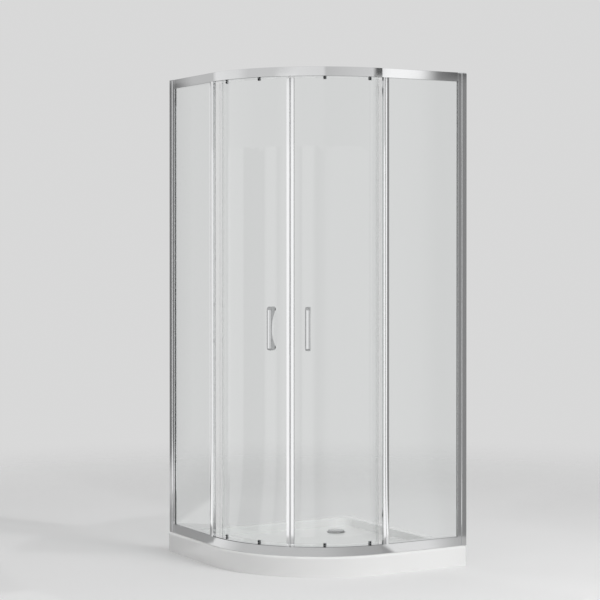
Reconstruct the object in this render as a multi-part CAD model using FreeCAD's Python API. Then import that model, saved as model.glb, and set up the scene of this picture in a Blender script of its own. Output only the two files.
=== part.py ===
import FreeCAD, Part
import math
import os

from FreeCAD import Vector

os.makedirs("parts", exist_ok=True)

# Quadrant shower cabin. Every piece is drawn about the axis of the curved front, with +Z up:
# X points straight out through the left fixed panel, Y straight out through the right one, and the
# two walls lie at minus wall_reach. The right half mirrors the left one in the plane X = Y, and the
# lower half of the screen mirrors the upper one. The finished pieces are then turned and moved so
# that the middle of the tray's footprint is the origin.

# Overall sizes
cabin_side = 900.0
front_radius = 500.0
tray_height = 80.0
screen_height = 1900.0

# Clearances
seat_gap = 0.2
running_gap = 0.3
pin_gap = 0.05
overrun = 10.0

# Tray
tray_wall = 7.0
tray_edge_radius = 9.0
tray_end_radius = 14.0
tray_back_radius = 6.0
front_rim = 74.0
wall_rim = 42.0
basin_corner_radius = 60.0
basin_lean = 14.0
rim_radius = 5.0
drain_from_wall = 185.0
drain_floor = 48.0
drain_recess_radius = 46.0
floor_rise = 13.0
foot_place_shares = ((-0.84, -0.84), (0.688, -0.84), (-0.84, 0.688), (0.528, 0.528), (0.096, 0.096))
foot_boss_radius = 14.0
foot_boss_bottom = 24.0
foot_stud_radius = 4.0
foot_stud_depth = 12.0
foot_pad_radius = 22.0
foot_pad_height = 5.0
foot_cone_height = 9.0
foot_nut_radius = 8.5
foot_nut_height = 6.0
nut_sides = 6

# Waste
waste_hole_radius = 30.0
waste_gasket = 1.5
waste_flange_radius = 41.0
waste_flange_height = 2.5
waste_tube_outer = 27.0
waste_tube_inner = 24.0
waste_tube_bottom = 22.0
waste_step = 1.5
waste_rim_radius = 26.0
body_flange_radius = 44.0
body_flange_height = 5.0
body_waist_radius = 33.0
body_waist_bottom = 24.0
outlet_wall = 4.0
outlet_radius = 20.2
outlet_bottom = 2.0
outlet_top = 20.0
cover_radius = 36.0
cover_gap = 2.5
cover_edge = 1.2
cover_rise = 2.4
cover_thickness = 1.6
strainer_wall = 1.5
strainer_play = 0.6
strainer_depth = 22.0
strainer_stem_radius = 4.0
strainer_hole_radius = 2.2
strainer_hole_circle = 13.0
strainer_hole_count = 10

# Rail: a glazing slot at the outside, a closed chamber above it and the wheel track inside
rail_inset = 10.0
rail_height = 36.0
rail_wall = 2.0
rail_web = 1.6
rail_edge_radius = 1.2
slot_depth = 14.0
shelf_thickness = 2.0
shelf_lip = 5.0
roof_lip = 4.0
glass_thickness = 5.0
gasket_side = 1.5
gasket_end = 1.0
gasket_lap = 10.0
track_side_gap = 0.5
wheel_radius = 12.0
wheel_width = 5.0
wheel_dish = 1.0
wheel_rim = 3.0
wheel_hub_radius = 5.0
wheel_edge = 0.6
wander_out = 4.0
wander_in = 14.2

# Wall profile and jamb
wall_profile_leg = 22.0
wall_profile_wall = 2.0
wall_hole_radius = 2.75
wall_hole_from_end = 150.0
jamb_from_wall = 9.0
jamb_front = 41.0
jamb_depth = 22.0
jamb_wall = 2.0
jamb_slot = 14.0
jamb_cap_height = 3.0
jamb_screw_radius = 1.9
jamb_screw_length = 7.0
jamb_screw_head_radius = 3.8
jamb_screw_head = 2.2
jamb_screw_from_wall = 15.0
jamb_screw_from_end = 260.0
spigot_length = 45.0
spigot_gap = 0.1
end_cap_thickness = 3.0
end_cap_tongue = 6.0
end_cap_gap = 0.2

# Fixed stile with the clear lip that the door hooks behind
stile_width = 26.0
stile_depth = 14.0
stile_wall = 2.0
stile_slot = 16.0
stile_end = 6.0
stile_corner = 2.0
stile_crown = 2.2
stile_crown_share = 0.75
groove_from_front = 3.0
lip_tongue = 2.0
lip_tongue_width = 3.2
lip_gap = 0.1
lip_root = 2.4
lip_thickness = 1.4
lip_tip = 1.2
lip_end_gap = 1.0

# Sliding door
door_gap = 5.2
door_lap = 4.0
door_overlap = 10.9
door_rail_gap = 2.0
stile_arm = 2.0
edge_arm = 12.0
edge_nose = 3.0
edge_slack = 0.5
hook_thickness = 2.0
hook_reach = 31.0
meeting_width = 12.0
meeting_nose = 3.0
magnet_thickness = 3.2
magnet_half_gap = 0.15
magnet_tongue = 1.6
magnet_tongue_width = 3.0
profile_radius = 0.8

# Handle
handle_angle = 35.7
handle_height = 882.0
handle_length = 172.0
handle_width = 20.0
handle_reach = 38.0
handle_corner = 15.0
handle_foot = 22.0
handle_hollow = 24.0
handle_edge = 2.5
handle_bolt_radius = 2.5
handle_bolt_hole_radius = 4.0
handle_bolt_depth = 12.0
handle_washer = 1.0
handle_washer_radius = 8.0
handle_cap_radius = 9.0
handle_cap_depth = 6.0
handle_cap_edge = 1.5

# Rollers
outer_roller_angle = 3.4
inner_roller_angle = 27.4
axle_radius = 2.5
axle_shoulder_radius = 4.0
axle_head_radius = 4.5
axle_head = 1.5
bracket_half_width = 6.5
bracket_plate = 3.5
bracket_crown = 5.5
clamp_drop = 4.9
clamp_radius = 3.8
clamp_height = 2.2
clamp_edge = 0.8
clamp_hole_radius = 2.6
clamp_screw_radius = 1.9
bracket_foot = 4.6

# Stops at the open end of the track
stop_from_jamb = 115.0
stop_length = 16.0
stop_height = 13.0
stop_corner = 2.0

# Places that follow from the sizes above
wall_reach = cabin_side - front_radius
room_shift = front_radius - cabin_side / 2
rail_radius = front_radius - rail_inset
upper_rail_bottom = tray_height + screen_height - rail_height
lower_rail_top = tray_height + rail_height
middle_height = tray_height + screen_height / 2
screen_top = tray_height + screen_height
slot_width = glass_thickness + 2 * gasket_side
track_outer = rail_wall + slot_width + rail_web
wheel_inset = track_outer + track_side_gap + wander_out + axle_head + running_gap + wheel_width / 2
track_inner = wheel_inset + wheel_width / 2 + wander_in + track_side_gap
rail_depth = track_inner + rail_web
rail_length = wall_reach - jamb_front
wheel_track_radius = rail_radius - wheel_inset
axle_height = upper_rail_bottom + shelf_thickness + running_gap + wheel_radius
door_outer_radius = rail_radius - rail_depth - door_gap
door_inner_radius = door_outer_radius - glass_thickness
door_start_angle = -math.degrees(door_overlap / door_outer_radius)
door_top = upper_rail_bottom + door_lap
door_stile_top = upper_rail_bottom - door_rail_gap
clamp_height_z = upper_rail_bottom - clamp_drop
drain_place = Vector(drain_from_wall - wall_reach, drain_from_wall - wall_reach, 0)
glass_inset = rail_wall + gasket_side


def upright(shape):
    """Stand a flat XY drawing up in the XZ plane."""
    stood = shape.copy()
    stood.rotate(Vector(0, 0, 0), Vector(1, 0, 0), 90)
    return stood


def facing_out(shape):
    """Turn an XY drawing raised along Z so that it lies in YZ and is raised along X."""
    turned = shape.copy()
    turned.rotate(Vector(0, 0, 0), Vector(1, 1, 1), 120)
    return turned


def turned(shape, angle):
    """Carry a piece round the axis of the curved front."""
    carried = shape.copy()
    carried.rotate(Vector(0, 0, 0), Vector(0, 0, 1), angle)
    return carried


def mirrored(shape):
    """The right-hand twin of a left-hand piece."""
    return shape.mirror(Vector(0, 0, 0), Vector(1, -1, 0))


def flipped(shape):
    """The lower twin of an upper piece."""
    return shape.mirror(Vector(0, 0, middle_height), Vector(0, 0, 1))


def in_room(shape):
    """Bring a finished piece to the frame whose origin is the middle of the footprint."""
    placed = shape.copy()
    placed.rotate(Vector(0, 0, 0), Vector(0, 0, 1), 180)
    placed.translate(Vector(room_shift, room_shift, 0))
    return placed


def save(name, *shapes):
    """Write one piece, or one group of like pieces, to its own file."""
    solids = [in_room(shape) for shape in shapes]
    whole = solids[0] if len(solids) == 1 else Part.makeCompound(solids)
    whole.exportStep(os.path.join("parts", name + ".step"))


def save_pair(left_name, right_name, *shapes):
    """Write a left-hand piece and its mirrored right-hand twin."""
    save(left_name, *shapes)
    save(right_name, *[mirrored(shape) for shape in shapes])


def rounded_wire(corners):
    """Closed flat wire through (x, y, radius) corners, each rounded by its own radius."""
    places = [Vector(x, y, 0) for x, y, radius in corners]
    entries, exits, middles = [], [], []
    for index, (x, y, radius) in enumerate(corners):
        here = places[index]
        back = (places[index - 1] - here).normalize()
        onward = (places[(index + 1) % len(places)] - here).normalize()
        half = back.getAngle(onward) / 2
        bisector = (back + onward)
        reach = radius / math.tan(half) if radius else 0
        entries.append(here + back * reach)
        exits.append(here + onward * reach)
        if radius:
            bisector.normalize()
            middles.append(here + bisector * (radius / math.sin(half) - radius))
        else:
            middles.append(None)
    edges = []
    for index in range(len(corners)):
        if not exits[index - 1].isEqual(entries[index], pin_gap / overrun):
            edges.append(Part.LineSegment(exits[index - 1], entries[index]).toShape())
        if middles[index]:
            edges.append(Part.Arc(entries[index], middles[index], exits[index]).toShape())
    return Part.Wire(edges)


def prism(corners, low, high):
    """Upright prism on a rounded outline."""
    face = Part.Face(rounded_wire(corners))
    face.translate(Vector(0, 0, low))
    return face.extrude(Vector(0, 0, high - low))


def lathe(points):
    """Solid of revolution about Z from (radius, height) points."""
    places = [Vector(radius, 0, height) for radius, height in points]
    face = Part.Face(Part.makePolygon(places + places[:1]))
    return face.revolve(Vector(0, 0, 0), Vector(0, 0, 1), 360)


def lathe_out(points, height):
    """Solid of revolution about a level line along X, from (x, radius) points."""
    places = [Vector(x, 0, radius) for x, radius in points]
    face = Part.Face(Part.makePolygon(places + places[:1]))
    solid = face.revolve(Vector(0, 0, 0), Vector(1, 0, 0), 360)
    solid.translate(Vector(0, 0, height))
    return solid


def bar_out(radius, start, end, height):
    """Round bar along X."""
    return Part.makeCylinder(radius, end - start, Vector(start, 0, height), Vector(1, 0, 0))


def arc_panel(inner, outer, low, high, start, end):
    """Curved panel about the axis of the front, between two angles."""
    corners = ((inner, low, 0), (outer, low, 0), (outer, high, 0), (inner, high, 0))
    face = upright(Part.Face(rounded_wire(corners)))
    panel = face.revolve(Vector(0, 0, 0), Vector(0, 0, 1), end - start)
    return turned(panel, start)


def quadrant_wire(front_inset, wall_inset, end_radius, back_radius, height):
    """Plan outline of the tray, set in from the front and from the walls, at one height."""
    front = front_radius - front_inset
    wall = wall_inset - wall_reach
    lean = math.sqrt(2) / 2
    ring = [
        Vector(front, wall + end_radius, height),
        Vector(front, 0, height),
        Vector(0, front, height),
        Vector(wall + end_radius, front, height),
        Vector(wall, front - end_radius, height),
        Vector(wall, wall + back_radius, height),
        Vector(wall + back_radius, wall, height),
        Vector(front - end_radius, wall, height),
    ]
    end_swing = end_radius * (1 - lean)
    back_swing = back_radius * (1 - lean)
    middles = {
        1: Vector(front * lean, front * lean, height),
        3: Vector(wall + end_swing, front - end_swing, height),
        5: Vector(wall + back_swing, wall + back_swing, height),
        7: Vector(front - end_swing, wall + end_swing, height),
    }
    edges = []
    for index, place in enumerate(ring):
        after = ring[(index + 1) % len(ring)]
        if index in middles:
            edges.append(Part.Arc(place, middles[index], after).toShape())
        else:
            edges.append(Part.LineSegment(place, after).toShape())
    return Part.Wire(edges)


def quadrant_prism(front_inset, wall_inset, end_radius, back_radius, low, high):
    """Upright prism on the tray's plan outline."""
    face = Part.Face(quadrant_wire(front_inset, wall_inset, end_radius, back_radius, low))
    return face.extrude(Vector(0, 0, high - low))


def basin(grow):
    """The hollow that the bather stands in, with leaning sides and a floor that falls to the drain."""
    corner = basin_corner_radius + grow
    low = drain_floor - overrun
    top = tray_height + overrun
    lean_share = (tray_height - low) / (tray_height - drain_floor)
    spread = basin_lean * overrun / (tray_height - drain_floor)
    upper = quadrant_wire(front_rim - grow - spread, wall_rim - grow - spread, corner, corner, top)
    inset = basin_lean * lean_share - grow
    lower = quadrant_wire(front_rim + inset, wall_rim + inset, corner, corner, low)
    sides = Part.makeLoft([upper, lower], True, True)
    reach = 2 * cabin_side
    fall_share = floor_rise / cabin_side
    funnel = lathe((
        (0, drain_floor - grow),
        (drain_recess_radius, drain_floor - grow),
        (reach, drain_floor - grow + (reach - drain_recess_radius) * fall_share),
        (reach, top),
        (0, top),
    ))
    funnel.translate(drain_place)
    return sides.common(funnel)


def foot_reach(share):
    """A share of the way out to the front, or back to the wall where it is negative."""
    return share * (front_radius if share > 0 else wall_reach)


def foot_places():
    """Where the tray's feet stand."""
    return [Vector(foot_reach(x), foot_reach(y), 0) for x, y in foot_place_shares]


def rim_edges(shell):
    """Upper edges of the basin."""
    found = []
    for edge in shell.Edges:
        box = edge.BoundBox
        at_top = box.ZMin > tray_height - pin_gap
        in_front = max(box.XMax, box.YMax) < front_radius - front_rim + pin_gap
        at_walls = min(box.XMin, box.YMin) > wall_rim - wall_reach - pin_gap
        if at_top and in_front and at_walls:
            found.append(edge)
    return found


def shower_tray():
    """Moulded tray: one shell that forms the apron, the rim and the basin, with bosses for the feet."""
    outer = quadrant_prism(0, 0, tray_end_radius, tray_back_radius, 0, tray_height)
    top_edges = [edge for edge in outer.Edges if edge.BoundBox.ZMin > tray_height - pin_gap]
    outer = outer.makeFillet(tray_edge_radius, top_edges)
    inner_end = tray_end_radius - tray_wall
    hollow = quadrant_prism(tray_wall, tray_wall, inner_end, inner_end, -overrun, tray_height - tray_wall)
    shell = outer.cut(hollow.cut(basin(tray_wall)))
    bosses = []
    for place in foot_places():
        height = tray_height - tray_wall - foot_boss_bottom
        boss = Part.makeCylinder(foot_boss_radius, height, Vector(0, 0, foot_boss_bottom))
        boss.translate(place)
        bosses.append(boss)
    shell = shell.fuse(bosses).cut(basin(0))
    shell = shell.makeFillet(rim_radius, rim_edges(shell))
    holes = [Part.makeCylinder(waste_hole_radius, tray_height, drain_place)]
    for place in foot_places():
        drill = Part.makeCylinder(foot_stud_radius + pin_gap, foot_stud_depth + overrun)
        drill.translate(place + Vector(0, 0, foot_boss_bottom - overrun))
        holes.append(drill)
    return shell.cut(holes).removeSplitter()


def tray_foot():
    """Screw foot with a broad pad."""
    stud_top = foot_boss_bottom + foot_stud_depth
    return lathe((
        (0, 0),
        (foot_pad_radius, 0),
        (foot_pad_radius, foot_pad_height),
        (foot_stud_radius, foot_cone_height),
        (foot_stud_radius, stud_top - foot_stud_radius / 2),
        (foot_stud_radius / 2, stud_top),
        (0, stud_top),
    ))


def foot_nut():
    """Lock nut run up against the boss."""
    corners = []
    for side in range(nut_sides):
        angle = 2 * math.pi * side / nut_sides
        corners.append((foot_nut_radius * math.cos(angle), foot_nut_radius * math.sin(angle), 0))
    nut = prism(corners, foot_boss_bottom - foot_nut_height, foot_boss_bottom)
    bore = Part.makeCylinder(foot_stud_radius + pin_gap, foot_boss_bottom)
    return nut.cut(bore)


def at_drain(shape):
    """Carry a turned waste piece to the drain."""
    placed = shape.copy()
    placed.translate(drain_place)
    return placed


flange_bottom = drain_floor + waste_gasket
flange_top = flange_bottom + waste_flange_height
tray_underside = drain_floor - tray_wall
body_top = tray_underside - waste_gasket


def waste_flange():
    """Chromed ring in the tray with the threaded tube below it."""
    step = flange_top - waste_step
    return lathe((
        (waste_tube_inner, waste_tube_bottom),
        (waste_tube_outer, waste_tube_bottom),
        (waste_tube_outer, flange_bottom),
        (waste_flange_radius, flange_bottom),
        (waste_flange_radius - waste_flange_height / 2, flange_top),
        (waste_rim_radius + waste_step / 2, flange_top),
        (waste_rim_radius + waste_step / 2, step),
        (waste_tube_inner, step),
    ))


def waste_gaskets():
    """Soft rings above and below the tray's floor."""
    rings = []
    for low in (drain_floor, body_top):
        ring = Part.makeCylinder(waste_flange_radius, waste_gasket, Vector(0, 0, low))
        rings.append(ring.cut(Part.makeCylinder(waste_hole_radius, tray_height)))
    return rings


def waste_body():
    """Funnel clamped under the tray, with the socket for the drain pipe."""
    flange_low = body_top - body_flange_height
    spout = outlet_radius + outlet_wall
    thread = waste_tube_outer + pin_gap
    return lathe((
        (outlet_radius, outlet_bottom),
        (spout, outlet_bottom),
        (spout, outlet_top - outlet_wall),
        (body_waist_radius, body_waist_bottom),
        (body_waist_radius, flange_low),
        (body_flange_radius, flange_low),
        (body_flange_radius, body_top),
        (thread, body_top),
        (thread, waste_tube_bottom - pin_gap),
        (outlet_radius, outlet_top),
    ))


def waste_cover():
    """Domed cover that hides the waste; water runs in under its edge."""
    low = flange_top + cover_gap
    return lathe((
        (0, low + cover_rise),
        (cover_radius - cover_thickness, low + cover_edge / 2),
        (cover_radius - cover_thickness, low),
        (cover_radius, low),
        (cover_radius, low + cover_edge),
        (cover_radius - cover_thickness, low + cover_edge + cover_thickness / 2),
        (0, low + cover_rise + cover_thickness),
    ))


def waste_strainer():
    """Hair basket under the cover, with a stem that plugs into it."""
    step = flange_top - waste_step
    outer = waste_tube_inner - strainer_play
    bottom = step - strainer_depth
    stem_top = flange_top + cover_gap + cover_edge
    basket = lathe((
        (0, bottom),
        (outer, bottom),
        (outer, step),
        (waste_rim_radius, step),
        (waste_rim_radius, step + waste_step),
        (outer - strainer_wall, step + waste_step),
        (outer - strainer_wall, bottom + strainer_wall),
        (strainer_stem_radius, bottom + strainer_wall),
        (strainer_stem_radius, stem_top),
        (0, stem_top),
    ))
    holes = []
    for index in range(strainer_hole_count):
        angle = 2 * math.pi * index / strainer_hole_count
        place = Vector(math.cos(angle), math.sin(angle), 0) * strainer_hole_circle
        holes.append(Part.makeCylinder(strainer_hole_radius, tray_height, place))
    return basket.cut(holes)


def rail_section():
    """Section of the upper rail in the XZ plane, with its glazing slot, chamber and wheel track."""
    base = upper_rail_bottom
    slot_end = rail_wall + slot_width
    roof = rail_height - rail_wall
    lip_top = shelf_thickness + shelf_lip
    roof_edge = roof - roof_lip
    track_wall = rail_depth - rail_web
    edge = rail_edge_radius
    outline = (
        (0, 0, 0),
        (rail_wall, 0, 0),
        (rail_wall, slot_depth, 0),
        (slot_end, slot_depth, 0),
        (slot_end, 0, 0),
        (rail_depth, 0, 0),
        (rail_depth, lip_top, 0),
        (track_wall, lip_top, 0),
        (track_wall, shelf_thickness, 0),
        (track_outer, shelf_thickness, 0),
        (track_outer, roof, 0),
        (track_wall, roof, 0),
        (track_wall, roof_edge, 0),
        (rail_depth, roof_edge, 0),
        (rail_depth, rail_height, edge),
        (0, rail_height, edge),
    )
    chamber = (
        (rail_wall, slot_depth + rail_web, 0),
        (slot_end, slot_depth + rail_web, 0),
        (slot_end, roof, 0),
        (rail_wall, roof, 0),
    )
    wires = []
    for corners in (outline, chamber):
        wires.append(rounded_wire([(rail_radius - inset, base + up, r) for inset, up, r in corners]))
    return upright(Part.makeFace(wires, "Part::FaceMakerBullseye"))


def top_rail():
    """One bent extrusion: straight along both fixed panels, round along both doors."""
    section = rail_section()
    straight = section.extrude(Vector(0, -rail_length, 0))
    bend = section.revolve(Vector(0, 0, 0), Vector(0, 0, 1), 90)
    return straight.fuse([bend, mirrored(straight)]).removeSplitter()


def plan_prism(corners, low, high):
    """Upright profile beside the left panel, from (inset, distance from wall, radius) corners."""
    points = [(rail_radius - inset, along - wall_reach, r) for inset, along, r in corners]
    return prism(points, low, high)


def wall_profile():
    """Channel screwed to the wall; the jamb slides in it."""
    outer = -wall_profile_wall
    inner = jamb_depth + wall_profile_wall
    channel = plan_prism((
        (outer, 0, 0),
        (inner, 0, 0),
        (inner, wall_profile_leg, profile_radius),
        (jamb_depth, wall_profile_leg, 0),
        (jamb_depth, wall_profile_wall, 0),
        (0, wall_profile_wall, 0),
        (0, wall_profile_leg, 0),
        (outer, wall_profile_leg, profile_radius),
    ), tray_height, screen_top - jamb_cap_height)
    centre = rail_radius - jamb_depth / 2
    drills = []
    for height in wall_hole_heights():
        start = Vector(centre, -wall_reach - overrun, height)
        drills.append(Part.makeCylinder(wall_hole_radius, overrun * 2, start, Vector(0, 1, 0)))
    for height in jamb_screw_heights():
        drills.append(jamb_screw_bar(jamb_screw_radius, height))
    return channel.cut(drills)


def wall_hole_heights():
    """Heights of the three wall fixings."""
    low = tray_height + wall_hole_from_end
    high = screen_top - wall_hole_from_end
    return (low, (low + high) / 2, high)


def jamb_screw_heights():
    """Heights of the screws that hold the jamb in the wall profile."""
    low = tray_height + jamb_screw_from_end
    high = screen_top - jamb_screw_from_end
    return (low, (low + high) / 2, high)


def jamb_screw_bar(radius, height):
    """Round bar where a jamb screw passes through both profiles."""
    head_face = rail_radius - jamb_depth - wall_profile_wall
    bar = bar_out(radius, head_face, head_face + jamb_screw_length, height)
    bar.translate(Vector(0, jamb_screw_from_wall - wall_reach, 0))
    return bar


def jamb_screw(height):
    """Pan-head screw from the inside."""
    head_face = rail_radius - jamb_depth - wall_profile_wall
    head = lathe_out((
        (head_face - jamb_screw_head, 0),
        (head_face - jamb_screw_head, jamb_screw_head_radius / 2),
        (head_face - jamb_screw_head / 2, jamb_screw_head_radius),
        (head_face, jamb_screw_head_radius),
        (head_face, 0),
    ), height)
    head.translate(Vector(0, jamb_screw_from_wall - wall_reach, 0))
    return head.fuse(jamb_screw_bar(jamb_screw_radius, height)).removeSplitter()


def jamb():
    """Upright at the wall, a box with a glazing slot along its front."""
    arm_end = jamb_front - jamb_slot
    slot_end = jamb_wall + slot_width
    outline = plan_prism((
        (0, jamb_from_wall, 0),
        (jamb_depth, jamb_from_wall, 0),
        (jamb_depth, arm_end, profile_radius),
        (slot_end + jamb_wall, arm_end, 0),
        (slot_end + jamb_wall, jamb_front, profile_radius),
        (slot_end, jamb_front, 0),
        (slot_end, arm_end, 0),
        (jamb_wall, arm_end, 0),
        (jamb_wall, jamb_front, 0),
        (0, jamb_front, profile_radius),
    ), tray_height, screen_top - jamb_cap_height)
    chamber = plan_prism((
        (jamb_wall, jamb_from_wall + jamb_wall, 0),
        (jamb_depth - jamb_wall, jamb_from_wall + jamb_wall, 0),
        (jamb_depth - jamb_wall, arm_end - jamb_wall, 0),
        (jamb_wall, arm_end - jamb_wall, 0),
    ), tray_height - overrun, screen_top)
    drills = [jamb_screw_bar(jamb_screw_radius, height) for height in jamb_screw_heights()]
    for level in frame_screw_heights():
        drills.append(frame_screw_bar(level))
    return outline.cut([chamber] + drills)


def jamb_cap():
    """Cap over the top of the wall profile and the jamb."""
    outer = -wall_profile_wall
    inner = jamb_depth + wall_profile_wall
    arm_end = jamb_front - jamb_slot
    slot_end = jamb_wall + slot_width + jamb_wall
    return plan_prism((
        (outer, 0, 0),
        (inner, 0, 0),
        (inner, wall_profile_leg, profile_radius),
        (jamb_depth, wall_profile_leg, 0),
        (jamb_depth, arm_end, profile_radius),
        (slot_end, arm_end, 0),
        (slot_end, jamb_front, profile_radius),
        (0, jamb_front, profile_radius),
        (0, wall_profile_leg, 0),
        (outer, wall_profile_leg, profile_radius),
    ), screen_top - jamb_cap_height, screen_top)


chamber_low = upper_rail_bottom + slot_depth + rail_web
chamber_high = screen_top - rail_wall
spigot_middle = (chamber_low + chamber_high) / 2 - jamb_cap_height / 2
spigot_start = jamb_front - jamb_slot + spigot_gap


def frame_screw_heights():
    """Heights of the screws that hold the upper and lower corner spigots."""
    return (spigot_middle, 2 * middle_height - spigot_middle)


def frame_screw_bar(height):
    """Round bar where a corner screw enters the jamb's inner arm and the spigot."""
    face = rail_radius - jamb_wall - slot_width - jamb_wall
    bar = bar_out(jamb_screw_radius, face, face + jamb_screw_length, height)
    bar.translate(Vector(0, (spigot_start + jamb_front) / 2 - wall_reach, 0))
    return bar


def frame_screw(height):
    """Countersunk-looking pan screw on the inside of the jamb."""
    face = rail_radius - jamb_wall - slot_width - jamb_wall
    head = lathe_out((
        (face - jamb_screw_head, 0),
        (face - jamb_screw_head, jamb_screw_head_radius / 2),
        (face, jamb_screw_head_radius),
        (face, 0),
    ), height)
    head.translate(Vector(0, (spigot_start + jamb_front) / 2 - wall_reach, 0))
    return head.fuse(frame_screw_bar(height)).removeSplitter()


def corner_spigot():
    """Plastic tongue that joins the upper rail's chamber to the jamb's slot."""
    top = screen_top - jamb_cap_height
    body = plan_prism((
        (rail_wall + spigot_gap, spigot_start, 0),
        (rail_wall + slot_width - spigot_gap, spigot_start, 0),
        (rail_wall + slot_width - spigot_gap, spigot_start + spigot_length, stop_corner),
        (rail_wall + spigot_gap, spigot_start + spigot_length, stop_corner),
    ), chamber_low + spigot_gap, top - spigot_gap)
    return body.cut(frame_screw_bar(spigot_middle))


def rail_end_cap():
    """Plate over the open end of the upper rail's wheel track, with a tongue into it."""
    start = jamb_front - end_cap_thickness
    arm = jamb_wall + slot_width + jamb_wall + end_cap_gap
    plate = plan_prism((
        (arm, start, 0),
        (rail_depth, start, profile_radius),
        (rail_depth, jamb_front, 0),
        (arm, jamb_front, 0),
    ), upper_rail_bottom, screen_top)
    tongue = plan_prism((
        (arm, jamb_front, 0),
        (track_inner - end_cap_gap, jamb_front, 0),
        (track_inner - end_cap_gap, jamb_front + end_cap_tongue, stop_corner),
        (arm, jamb_front + end_cap_tongue, stop_corner),
    ), upper_rail_bottom + shelf_thickness + end_cap_gap, screen_top - rail_wall - end_cap_gap)
    return plate.fuse(tongue).removeSplitter()


def rail_stop():
    """Rubber buffer on the track where the outer wheel ends its run."""
    start = jamb_front + stop_from_jamb
    face = start + stop_length
    return plan_prism((
        (track_outer, start, 0),
        (track_inner, start, 0),
        (track_inner, face, stop_corner),
        (track_outer, face, stop_corner),
    ), upper_rail_bottom + shelf_thickness, upper_rail_bottom + shelf_thickness + stop_height)


fixed_glass_start = jamb_front - jamb_slot + gasket_end
stile_front = wall_reach - stile_end
stile_back = stile_front - stile_width
fixed_glass_end = stile_back + stile_slot - gasket_end
fixed_glass_top = upper_rail_bottom + slot_depth - gasket_end


def upright_plate(inset, thickness, start, end, low, high):
    """Flat plate in the plane of the left panel."""
    return plan_prism((
        (inset, start, 0),
        (inset + thickness, start, 0),
        (inset + thickness, end, 0),
        (inset, end, 0),
    ), low, high)


def fixed_glass():
    """Flat pane between the jamb, the rails and the fixed stile."""
    high = fixed_glass_top
    low = 2 * middle_height - high
    return upright_plate(glass_inset, glass_thickness, fixed_glass_start, fixed_glass_end, low, high)


def glazing_gasket():
    """Channel gasket all round the edge of the fixed pane."""
    low = 2 * middle_height - fixed_glass_top
    outer = upright_plate(
        rail_wall, slot_width, fixed_glass_start - gasket_end, fixed_glass_end + gasket_end,
        low - gasket_end, fixed_glass_top + gasket_end)
    window = upright_plate(
        rail_wall - overrun, slot_width + 2 * overrun, fixed_glass_start + gasket_lap,
        fixed_glass_end - gasket_lap, low + gasket_lap, fixed_glass_top - gasket_lap)
    return outer.cut([window, fixed_glass()])


def lip_middle():
    """Distance from the wall to the middle of the lip."""
    return stile_front - groove_from_front - lip_tongue_width / 2


def fixed_stile():
    """Upright on the free edge of the fixed pane, with a crowned face and a groove for the lip."""
    slot_end = stile_wall + slot_width
    slot_floor = stile_back + stile_slot
    groove = lip_tongue_width / 2 + lip_gap
    groove_floor = stile_depth - lip_tongue - lip_gap
    crown_radius = stile_crown_share * (stile_width / 2) ** 2 / stile_crown
    body = plan_prism((
        (0, stile_back, stile_corner),
        (stile_wall, stile_back, 0),
        (stile_wall, slot_floor, 0),
        (slot_end, slot_floor, 0),
        (slot_end, stile_back, 0),
        (stile_depth, stile_back, profile_radius),
        (stile_depth, lip_middle() - groove, 0),
        (groove_floor, lip_middle() - groove, 0),
        (groove_floor, lip_middle() + groove, 0),
        (stile_depth, lip_middle() + groove, 0),
        (stile_depth, stile_front, profile_radius),
        (0, stile_front, stile_corner),
        (-stile_crown, (stile_front + stile_back) / 2, crown_radius),
    ), lower_rail_top, upper_rail_bottom)
    chamber = plan_prism((
        (stile_wall, slot_floor + stile_wall, profile_radius),
        (slot_end, slot_floor + stile_wall, profile_radius),
        (slot_end, stile_front - stile_wall, profile_radius),
        (stile_wall, stile_front - stile_wall, profile_radius),
    ), lower_rail_top - overrun, upper_rail_bottom + overrun)
    return body.cut(chamber)


def overlap_seal():
    """Clear lip pushed into the stile's groove; it closes the gap to the door and clears the rollers."""
    tip = rail_depth + door_gap - stile_arm - edge_slack - lip_tip
    tongue = lip_tongue_width / 2
    foot = stile_depth - lip_tongue
    middle = lip_middle()
    shortened = clamp_drop + clamp_radius + lip_end_gap
    return plan_prism((
        (foot, middle - tongue, 0),
        (foot, middle + tongue, 0),
        (stile_depth, middle + tongue, 0),
        (stile_depth, middle + lip_root, 0),
        (stile_depth + lip_thickness, middle + lip_root, 0),
        (stile_depth + lip_root, middle + lip_thickness / 2, 0),
        (tip, middle + lip_thickness / 2, 0),
        (tip, middle - lip_thickness / 2, 0),
        (stile_depth + lip_root, middle - lip_thickness / 2, 0),
        (stile_depth + lip_thickness, middle - lip_root, 0),
        (stile_depth, middle - lip_root, 0),
        (stile_depth, middle - tongue, 0),
    ), lower_rail_top + shortened, upper_rail_bottom - shortened)


def roller_angles():
    """The two places along the door that carry rollers."""
    return (outer_roller_angle, inner_roller_angle)


def handle_bolt_heights():
    """Heights of the handle's two bolts."""
    middle = tray_height + handle_height
    half = (handle_length - handle_foot) / 2
    return (middle - half, middle + half)


glass_end_back = magnet_thickness + meeting_nose + seat_gap


def door_glass():
    """Curved pane with holes for the rollers and the handle."""
    end_angle = 45 - math.degrees(glass_end_back / door_outer_radius)
    low = 2 * middle_height - door_top
    pane = arc_panel(door_inner_radius, door_outer_radius, low, door_top, door_start_angle, end_angle)
    start = door_inner_radius - overrun
    end = door_outer_radius + overrun
    drills = []
    for angle in roller_angles():
        drill = turned(bar_out(clamp_hole_radius, start, end, clamp_height_z), angle)
        drills += [drill, flipped(drill)]
    for height in handle_bolt_heights():
        drills.append(turned(bar_out(handle_bolt_hole_radius, start, end, height), handle_angle))
    return pane.cut(drills)


def door_profile(corners, angle):
    """Upright profile on the door, from (radius, distance along, corner) in the frame at one angle."""
    low = 2 * middle_height - door_stile_top
    return turned(prism(corners, low, door_stile_top), angle)


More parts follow.
